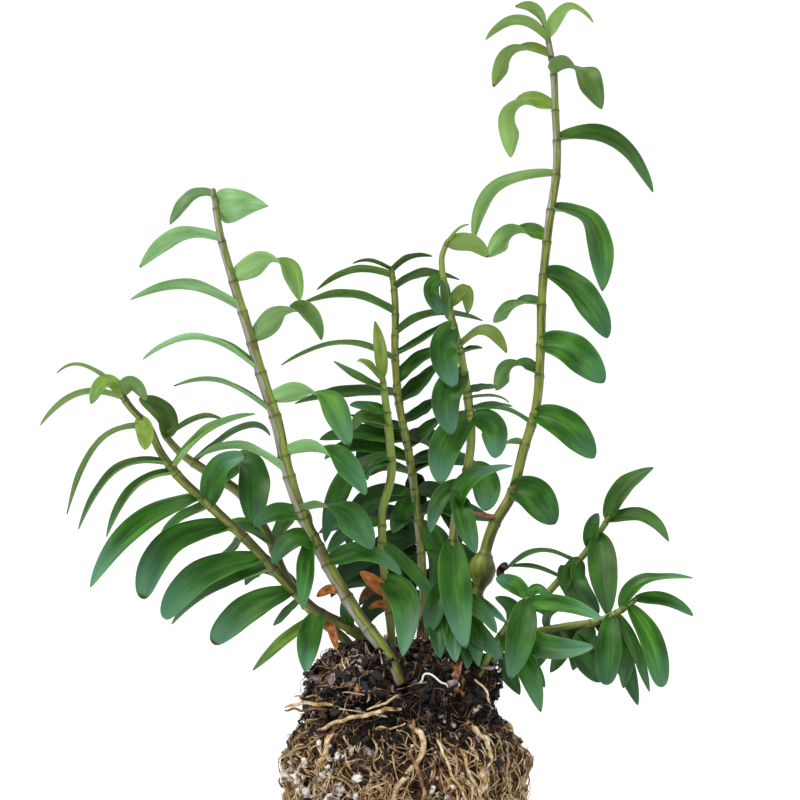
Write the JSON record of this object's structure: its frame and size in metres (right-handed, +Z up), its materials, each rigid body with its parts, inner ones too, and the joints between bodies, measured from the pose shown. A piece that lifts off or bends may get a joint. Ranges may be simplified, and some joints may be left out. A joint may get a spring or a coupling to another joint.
{
  "type": "dendrobium orchid",
  "caption": "Bare-rooted dendrobium orchid: a clump of leafy canes of several heights growing from a root ball of potting bark and roots with a flat underside.",
  "frame": {"origin": "centre of the root ball's flat underside", "axes": "+Z up from the root ball along the canes, +X towards the tall cane, -Y the front, towards which the large hanging leaves face"},
  "size_m": [0.2585, 0.0892, 0.3505],
  "materials": {
    "potting_bark": "moist, rough and crumbly",
    "root": "matt, wiry",
    "leaf": "waxy satin"
  },
  "bodies": {
    "root": {"root_ball": "potting_bark", "rhizome_and_roots": "root", "cane_tall": "leaf", "cane_left": "leaf", "cane_low_front": "leaf", "cane_low_back": "leaf", "cane_centre": "leaf", "cane_centre_left": "leaf", "cane_centre_right": "leaf", "cane_right_upper": "leaf", "cane_right_lower": "leaf", "shoot_front_right": "leaf"}
  },
  "joints": []
}
